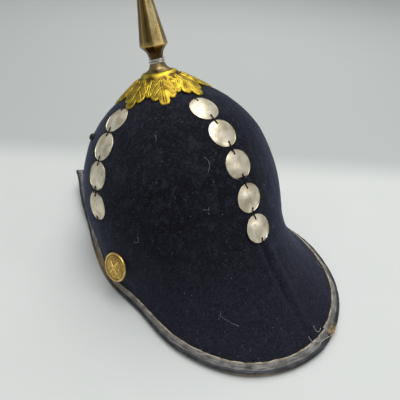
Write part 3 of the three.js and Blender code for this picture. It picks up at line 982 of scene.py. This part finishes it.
def base_rise(bearing, radius):
    """Height of the leaf base over the dome, without its leaves."""
    reach = unit((radius - BASE_TOP_RADIUS) / (LEAF_TIP_RADIUS - BASE_TOP_RADIUS))
    neck = CROWN_HEIGHT + BASE_TOP_HEIGHT - crown_height(bearing, BASE_TOP_RADIUS) - GAP
    return LEAF_EDGE + (neck - LEAF_EDGE) * (1 - reach) ** BASE_SLOPE_POWER


def leaf_outline(angle, neck):
    """Share of the leaf's size at an angle from its tip direction, with a rounded lobe at each vein."""
    turn = np.degrees(from_rear(angle))
    lobes = np.zeros_like(turn)
    for place, share in zip(LOBES, LOBE_SHARES):
        lobes = np.maximum(lobes, share * np.exp(-((turn - place) / LOBE_SPREAD) ** LOBE_POWER))
    blade = SINUS + (1 - SINUS) * lobes
    stalk = unit((turn - STALK_START) / (180 - STALK_START))
    return blade + (neck - blade) * stalk ** 2 * (3 - 2 * stalk)


def vein_distance(ahead, aside, size):
    """Distance from places on a leaf to its nearest vein: one down its middle, and side veins."""
    aside = np.abs(aside)
    nearest = aside
    lean_cos, lean_sin = math.cos(VEIN.lean), math.sin(VEIN.lean)
    for start in SIDE_VEINS:
        past = ahead - start * size - VEIN.bend * aside ** 2
        along = past * lean_cos + aside * lean_sin
        across = np.abs(past * lean_sin - aside * lean_cos)
        nearest = np.where(along > 0, np.minimum(nearest, across), nearest)
    return nearest


def add_leaf(form, bearing, sizes):
    """One oak leaf pressed over the dome: its veins stand up between two narrow ditches."""
    angle = around(LEAF_SECTORS)
    edge = sizes.size * leaf_outline(angle, sizes.neck / sizes.size)
    way = np.array([math.sin(bearing), math.cos(bearing)])
    side = np.array([math.cos(bearing), -math.sin(bearing)])
    share = np.concatenate([np.arange(1, LEAF_RINGS + 1) / LEAF_RINGS, LEAF_UNDER_SHARES])[:, None]
    under = np.arange(len(share))[:, None] >= LEAF_RINGS
    ahead = edge * share * np.cos(angle)
    aside = edge * share * np.sin(angle)
    plan = (sizes.middle + ahead)[..., None] * way + aside[..., None] * side
    radius = np.hypot(plan[..., 0], plan[..., 1])
    heading = np.arctan2(plan[..., 0], plan[..., 1])
    nearest = vein_distance(ahead, aside, sizes.size)
    vein = bell(nearest, VEIN.width)
    ditch = bell(nearest - DITCH.place, DITCH.width)
    rim = share > LEAF_RIM.start
    foot = crown_height(heading, radius) + GAP
    lumps = noise_at(np.concatenate([plan, foot[..., None]], axis=-1), LEAF_LUMPS.size)
    lift = base_rise(heading, radius) - sizes.sink - LEAF_THICKNESS * under
    lift = lift + sizes.rise * np.sqrt(1 - share ** LEAF_ROUND_POWER)
    lift = lift + VEIN.rise * vein * (1 - share ** VEIN.fade) - DITCH.depth * ditch
    lift = lift + LEAF_RIM.rise * rim + LEAF_LUMPS.rise * lumps
    level = foot + np.maximum(lift, np.where(under, LEAF_CLEAR.under, LEAF_CLEAR.top))
    rings = np.concatenate([plan, level[..., None]], axis=-1)
    # Veins, rim and raised lumps painted bright as highlights, ditches and the underside painted dark as
    # shade
    shade = shaded(LEAF_PAINTED_LIGHT, vein=vein, ditch=ditch, rim=rim, lumps=lumps)
    poles = [rings[0].mean(axis=0), rings[-1].mean(axis=0)]
    form.closed_grid(rings, poles, relief=np.where(under, LEAF_UNDER_PAINTED_SHADE, shade))


def make_leaf_base(material):
    angle = around(BASE_SECTORS)
    radius, extra, shade = np.array(BASE_ROWS).T[..., None]
    level = crown_height(angle, radius) + GAP + base_rise(angle, radius) + extra
    lumps = noise_at(spun(angle, (radius, level)), LEAF_LUMPS.size)
    rings = spun(angle, (radius, level + LEAF_LUMPS.rise * lumps))
    # The band is painted brighter where its lumps rise, as painted highlights
    relief = unit(shade + LEAF_LUMPS.band_shade * lumps)
    foot = np.array(BASE_FOOT_RADII)[:, None]
    feet = spun(angle, (foot, crown_height(angle, foot) + GAP))
    feet_painted_shade = np.full(feet.shape[:2], LEAF_UNDER_PAINTED_SHADE)
    poles = [(0, 0, CROWN_HEIGHT + BASE_TOP_HEIGHT - BASE_TOP_DIP), (0, 0, CROWN_HEIGHT + GAP)]
    form = Form()
    form.closed_grid(np.concatenate([rings, feet]), poles, relief=np.concatenate([relief, feet_painted_shade]))
    for sizes, shift in ((SMALL_LEAF, 0.5), (BIG_LEAF, 0)):
        for leaf in range(LEAF_COUNT):
            add_leaf(form, LEAF_TURN + (leaf + shift) / LEAF_COUNT * TURN, sizes)
    form.piece("leaf_base", material, "gilt", "oak_leaf_base", sharp="leaf")


def make_spike(material):
    half = math.pi / SPIKE_SIDES
    columns = []
    for side in range(SPIKE_SIDES):
        middle = half + side * 2 * half
        # One side of the spike is painted pale as painted light
        handled = unit(PAINTED_LIGHT_SIDE.plain - PAINTED_LIGHT_SIDE.gain * math.sin(middle))
        for share, edge in SPIKE_COLUMNS:
            turn = (share - 0.5) * 2 * half
            length = math.cos(half) / math.cos(min(abs(turn), half * (1 - SPIKE_CORNER)))
            columns.append((LEAF_TURN + middle + turn, length, edge, handled))
    angle, length, edge, handled = np.array(columns).T
    radius, height, worn = np.array(SPIKE_ROWS[1:-1]).T[..., None]
    above_neck = unit((height - PAINTED_LIGHT_SIDE.start) / PAINTED_LIGHT_SIDE.over)
    rings = spun(angle, (radius * length, height + CROWN_HEIGHT))
    poles = [(0, 0, row[1] + CROWN_HEIGHT) for row in (SPIKE_ROWS[0], SPIKE_ROWS[-1])]
    form = Form()
    form.closed_grid(rings, poles, edge=np.maximum(edge, worn) * above_neck, handled=handled * above_neck)
    form.piece("brass_spike", material, "aged_brass", "spike", sharp="spike")


def make_neck(brass, white):
    collar = Form()
    collar.turned(COLLAR_ROWS, ROUND_SIDES, CROWN_HEIGHT, **COLLAR_TONE)
    collar.piece("neck_collar", brass, "aged_brass", "spike_collar", sharp="turned")
    ring = Form()
    ring.turned(RING_ROWS, ROUND_SIDES, CROWN_HEIGHT)
    ring.piece("neck_ring", white, "white_metal", "thread_ring", sharp="turned")


def dome_rise(share, inset):
    return (DISC.rise - inset) * (1 - share ** 2)


def drilled_disc():
    """Points and faces of one domed sheet disc with its two thread holes, in its own frame."""
    radius, sheet, depth = DISC.radius, DISC.sheet, DISC_HOLE.depth
    rows = [(radius * share, dome_rise(share, 0)) for share in DISC_TOP_SHARES]
    rows += [(radius * share, sheet * level) for share, level in DISC_EDGE]
    rows += [(radius - sheet, 0)]
    rows += [((radius - sheet) * share, dome_rise(share, sheet)) for share in DISC_UNDER_SHARES]
    form = Form()
    rings = spun(around(DISC_SECTORS), np.array(rows).T[..., None])
    form.closed_grid(rings, [(0, 0, DISC.rise), (0, 0, DISC.rise - sheet)])
    drills = Form()
    for place in (-DISC_HOLE.place, DISC_HOLE.place):
        poles = [(0, place, -depth), (0, place, depth)]
        circle = spun(around(DISC_HOLE.sides), (DISC_HOLE.radius, 0))
        drills.closed_grid([circle + pole for pole in poles], poles)
    tools = []
    for shape in (form, drills):
        mesh = closed_mesh("disc_tool", np.concatenate(shape.points), shape.faces)
        tools.append(linked("disc_tool", mesh))
    cut = tools[0].modifiers.new("holes", "BOOLEAN")
    cut.operation = "DIFFERENCE"
    cut.solver = "EXACT"
    cut.object = tools[1]
    bpy.context.view_layer.update()
    made = tools[0].evaluated_get(bpy.context.evaluated_depsgraph_get()).to_mesh()
    points = np.array([vertex.co for vertex in made.vertices])
    faces = [list(polygon.vertices) for polygon in made.polygons]
    for tool in tools:
        bpy.data.objects.remove(tool)
    return points, faces


def make_discs(material):
    points, faces = drilled_disc()
    seats = {}
    for name, bearing, downs in DISC_STRINGS:
        for index, down in enumerate(downs):
            node = f"{name}_{index + 1}"
            dents = DISC_DENT.rise * noise_at(points, DISC_DENT.size, DISC_DENT.shift * len(seats))
            seats[node] = seat(bearing, down, DISC.radius)
            form = Form()
            form.add(in_seat(points + dents[:, None] * UP, *seats[node]), faces)
            form.piece(f"sewn_{node}", material, "silvered_disc", node, sharp="disc")
    return seats


def make_stitches(seats, material):
    """Pairs of dark strands from hole to hole, over the edges of the discs and down to the cloth."""
    place, radius = DISC_HOLE.place, DISC.radius
    over = place + STITCH.over
    hole_level = dome_rise(place / radius, 0)
    lift = THREAD.radius + STITCH.clear
    steps = (
        (place, hole_level - STITCH.sink),
        (place + STITCH.clear, hole_level + lift),
        (over, dome_rise(over / radius, 0) + lift),
        (radius - STITCH.inside, STITCH.level + lift),
        (radius + STITCH.outside, STITCH.foot),
    )

    def half(node, sign):
        """Points from the hole out past the disc's edge, on the side that the sign gives."""
        route = []
        for away, level in steps:
            stray = random.uniform(-THREAD.stray, THREAD.stray)
            route.append(in_seat((stray, sign * away, level), *seats[node]))
        return route

    for name, bearing, downs in DISC_STRINGS:
        form = Form()
        side = np.array([math.cos(bearing), -math.sin(bearing), 0])
        for index in range(len(downs) + 1):
            route = []
            if index > 0:
                route += half(f"{name}_{index}", -1)
            if index < len(downs):
                route += half(f"{name}_{index + 1}", 1)[::-1]
            route = np.array(route)
            fine = np.linspace(0, len(route) - 1, THREAD.steps * len(route))
            path = np.stack([np.interp(fine, np.arange(len(route)), values) for values in route.T], axis=-1)
            path[1:-1] = (path[:-2] + 2 * path[1:-1] + path[2:]) / 4
            up = seats[f"{name}_{min(index + 1, len(downs))}"][1][2]
            for phase in (0, math.pi):
                turn = (fine * THREAD.twist + phase)[:, None]
                apart = np.cos(turn) * side + THREAD.flat * np.sin(turn) * up
                form.tube(path + THREAD.apart * apart, THREAD.radius, THREAD.sides)
        form.piece(name.replace("disc", "stitches"), material, "blackened", sharp="soft")


def staves(x, y):
    """How much of the two crossed staves there is at places on the button."""
    total = np.zeros_like(x)
    for lean in (-STAVE.lean, STAVE.lean):
        across = np.abs(x * math.cos(lean) - y * math.sin(lean))
        along = np.abs(x * math.sin(lean) + y * math.cos(lean))
        inside = unit((STAVE.length - along) * STAVE.end)
        total = np.maximum(total, unit(STAVE.top - across / STAVE.width * STAVE.side) * inside)
    return total


def make_buttons(material):
    angle = around(BUTTON_SECTORS)
    share = BUTTON_SHARES[:, None]
    top = spun(angle, (BUTTON.radius * share, np.interp(share, *np.array(BUTTON_ROWS).T)))
    field = share < BUTTON_FIELD
    ditch = (BUTTON_DITCH[0] < share) & (share < BUTTON_DITCH[1])
    stave = staves(top[..., 0], top[..., 1])
    pebbles = noise_at(top, PEBBLE.size) * field * (1 - stave)
    rise = stave * STAVE.rise + pebbles * PEBBLE.rise
    # Staves, pebbles and rim painted bright as highlights, the ditch and the back painted dark as shade
    relief = shaded(BUTTON_PAINTED_LIGHT, stave=stave, pebbles=pebbles, rim=~field, ditch=ditch)
    back_share, back_level = np.array(BUTTON_BACK_ROWS).T[..., None]
    back = spun(angle, (BUTTON.radius * back_share, back_level))
    rings = np.concatenate([top + rise[..., None] * UP, back])
    relief = np.concatenate([relief, np.full(back.shape[:2], BUTTON_BACK_PAINTED_SHADE)])
    poles = [(0, 0, BUTTON_ROWS[0][1] + STAVE.rise), (0, 0, BUTTON_BACK_ROWS[-1][1])]
    lean_cos, lean_sin = math.cos(BUTTON.lean), math.sin(BUTTON.lean)
    for side, hand in SIDES:
        bearing = hand * BUTTON.bearing
        middle, (across, up, out) = seat(bearing, lip_down(bearing) - BUTTON.up, BUTTON.radius)
        middle = middle + out * BUTTON.radius * lean_sin
        form = Form()
        form.closed_grid(rings, poles, relief=relief)
        form.sit(middle, np.stack([across, up * lean_cos - out * lean_sin, out * lean_cos + up * lean_sin]))
        form.piece(f"button_{side}", material, "button_gilt", f"side_button_{side}", sharp="button")


def make_studs(material):
    for side, hand in SIDES:
        form = Form()
        form.turned(STUD_ROWS, STUD_SIDES, 0)
        form.sit(*seat(hand * STUD.bearing, STUD.down, STUD.radius))
        form.piece(f"stud_{side}", material, "blackened", f"side_stud_{side}", sharp="turned")


def surface_frames(outside, count):
    """Random places spread evenly over the outside of the cloth: point, heading and normal."""
    right = np.roll(outside, -1, axis=1) - outside
    down = np.diff(outside, axis=0)
    normal = np.cross(down, right[:-1])
    area = np.linalg.norm(normal, axis=-1)
    flat = area.ravel() / area.sum()
    picks = np.random.default_rng(LINT_SEED).choice(len(flat), count, p=flat)
    for spot in zip(*np.unravel_index(picks, area.shape)):
        u, v = random.random(), random.random()
        point = outside[spot] + u * right[spot] + v * down[spot]
        out = normal[spot] / area[spot]
        if out @ (point - INSIDE_POINT) < 0:
            out = -out
        turn = random.uniform(0, TURN)
        across = right[spot] / np.linalg.norm(right[spot])
        heading = across * math.cos(turn) + np.cross(out, across) * math.sin(turn)
        yield point, heading, out


def fibre_path(point, heading, out, length, curl, steps):
    """A curled fibre that lies just over the cloth."""
    step = np.linspace(-0.5, 0.5, steps)[:, None]
    side = np.cross(out, heading)
    path = point + length * step * (np.cos(curl * step) * heading + np.sin(curl * step) * side)
    waves = np.abs(np.sin(np.linspace(0, FIBRE.waves, steps)))
    return path + (FIBRE.least_lift + FIBRE.lift * waves)[:, None] * out


def make_lint(outside, material):
    form = Form()
    for point, heading, out in surface_frames(outside, LINT.count):
        size = LINT.least + LINT.more * random.random() ** LINT.power
        long = heading * size * random.uniform(*LINT.stretch)
        axes = np.stack([long, np.cross(out, heading) * size, out * size * LINT.flat])
        form.add(SPECK_CORNERS @ axes + point + out * LINT.lift, SPECK_FACES)
    for point, heading, out in surface_frames(outside, FIBRE.count):
        length = random.uniform(*FIBRE.length)
        path = fibre_path(point, heading, out, length, random.uniform(*FIBRE.curl), FIBRE.steps)
        form.tube(path, random.uniform(*FIBRE.radius), FIBRE.sides)
    form.piece("lint", material, "cloth", sharp="soft")


def hair_path(bearing, down, heading, length, curl):
    """A loose hair that follows the cloth, and the leather where it crosses that."""
    radius = outline_at(bearing, down)[0]
    path = []
    for step in np.linspace(-0.5, 0.5, HAIR_STEPS):
        turn = heading + curl * step
        across, up = length * step * math.cos(turn), length * step * math.sin(turn)
        place = bearing - across / radius
        middle, axes = seat(place, down - up, 0)
        lift = HAIR_LIFT.leather
        if lip_down(place) - down + up >= BAND:
            lift = HAIR_LIFT.cloth + cloth_lumps(middle[None])[0] - GAP + max(seam_rise(middle), 0)
        path.append(middle + axes[2] * lift)
    return np.array(path)


def make_hairs(material):
    form = Form()
    for bearing, down, heading, length, curl, radius in HAIRS:
        path = hair_path(bearing * DEGREE, down, heading * DEGREE, length, curl)
        form.tube(path, radius, STRAND_SIDES)
    form.piece("hairs", material, "cloth", sharp="soft")


def make_frays(material):
    """Torn fibres near the place where the ends of the leather meet, most of them pointing down."""
    form = Form()
    along = np.linspace(0, 1, FRAYS.steps)[:, None]
    for _ in range(FRAYS.count):
        bearing = FRAYS.bearing + random.gauss(0, FRAYS.spread)
        up = random.uniform(*FRAYS.up)
        middle, axes = seat(bearing, lip_down(bearing) - up, 0)
        turn = random.gauss(FRAYS.heading, FRAYS.heading_spread)
        way = axes[0] * math.cos(turn) + axes[1] * math.sin(turn)
        length = random.uniform(*FRAYS.length)
        curl = random.uniform(*FRAYS.curl)
        path = fibre_path(middle + axes[2] * FRAYS.lift, way, axes[2], length, curl, FRAYS.steps)
        path = path + along ** 2 * axes[2] * random.uniform(0, FRAYS.curl_up)
        form.tube(rested(path), random.uniform(*FRAYS.radius), STRAND_SIDES)
    form.piece("frays", material, "leather", sharp="soft")


# Stage


def add_lamp(name, place, size, power, colour):
    light = bpy.data.lights.new(name, "AREA")
    light.shape = "DISK"
    light.size = size
    light.energy = power
    light.color = colour
    lamp = linked(name, light)
    lamp.location = place
    way = Vector(LAMP_TARGET) - Vector(place)
    lamp.rotation_euler = way.to_track_quat("-Z", "Y").to_euler()


def make_stage():
    scene = bpy.context.scene
    mesh = bpy.data.meshes.new("floor")
    corners = [(x * FLOOR_HALF, y * FLOOR_HALF, 0) for x, y in ((-1, -1), (1, -1), (1, 1), (-1, 1))]
    mesh.from_pydata(corners, [], [range(len(corners))])
    mesh.materials.append(painted("pale_floor"))
    floor = linked("floor", mesh)
    scene.world = bpy.data.worlds.new("studio")
    scene.world.use_nodes = True
    for socket, value in WORLD.items():
        scene.world.node_tree.nodes["Background"].inputs[socket].default_value = value
    for lamp in LAMPS:
        add_lamp(*lamp)
    scene.view_settings.view_transform = "Standard"


def make_camera():
    data = bpy.data.cameras.new("camera")
    data.lens = CAMERA_LENS
    data.sensor_width = CAMERA_SENSOR
    camera = linked("camera", data)
    camera.location = placed(CAMERA_PLACE)
    camera.rotation_euler = [angle * DEGREE for angle in CAMERA_TURN]
    bpy.context.scene.camera = camera


make_camera()
make_stage()
cloth_surface = make_cloth(painted("navy_cloth"))
make_binding(painted("edge_leather"))
make_leaf_base(painted("leaf_gilt"))
aged_brass = painted("aged_brass")
make_spike(aged_brass)
make_neck(aged_brass, painted("white_metal"))
disc_seats = make_discs(painted("silvered_sheet"))
make_stitches(disc_seats, painted("dark_thread"))
make_buttons(painted("button_gilt"))
make_studs(painted("blackened_metal"))
make_lint(cloth_surface, painted("lint"))
make_hairs(painted("pale_hair"))
make_frays(painted("torn_fibre"))
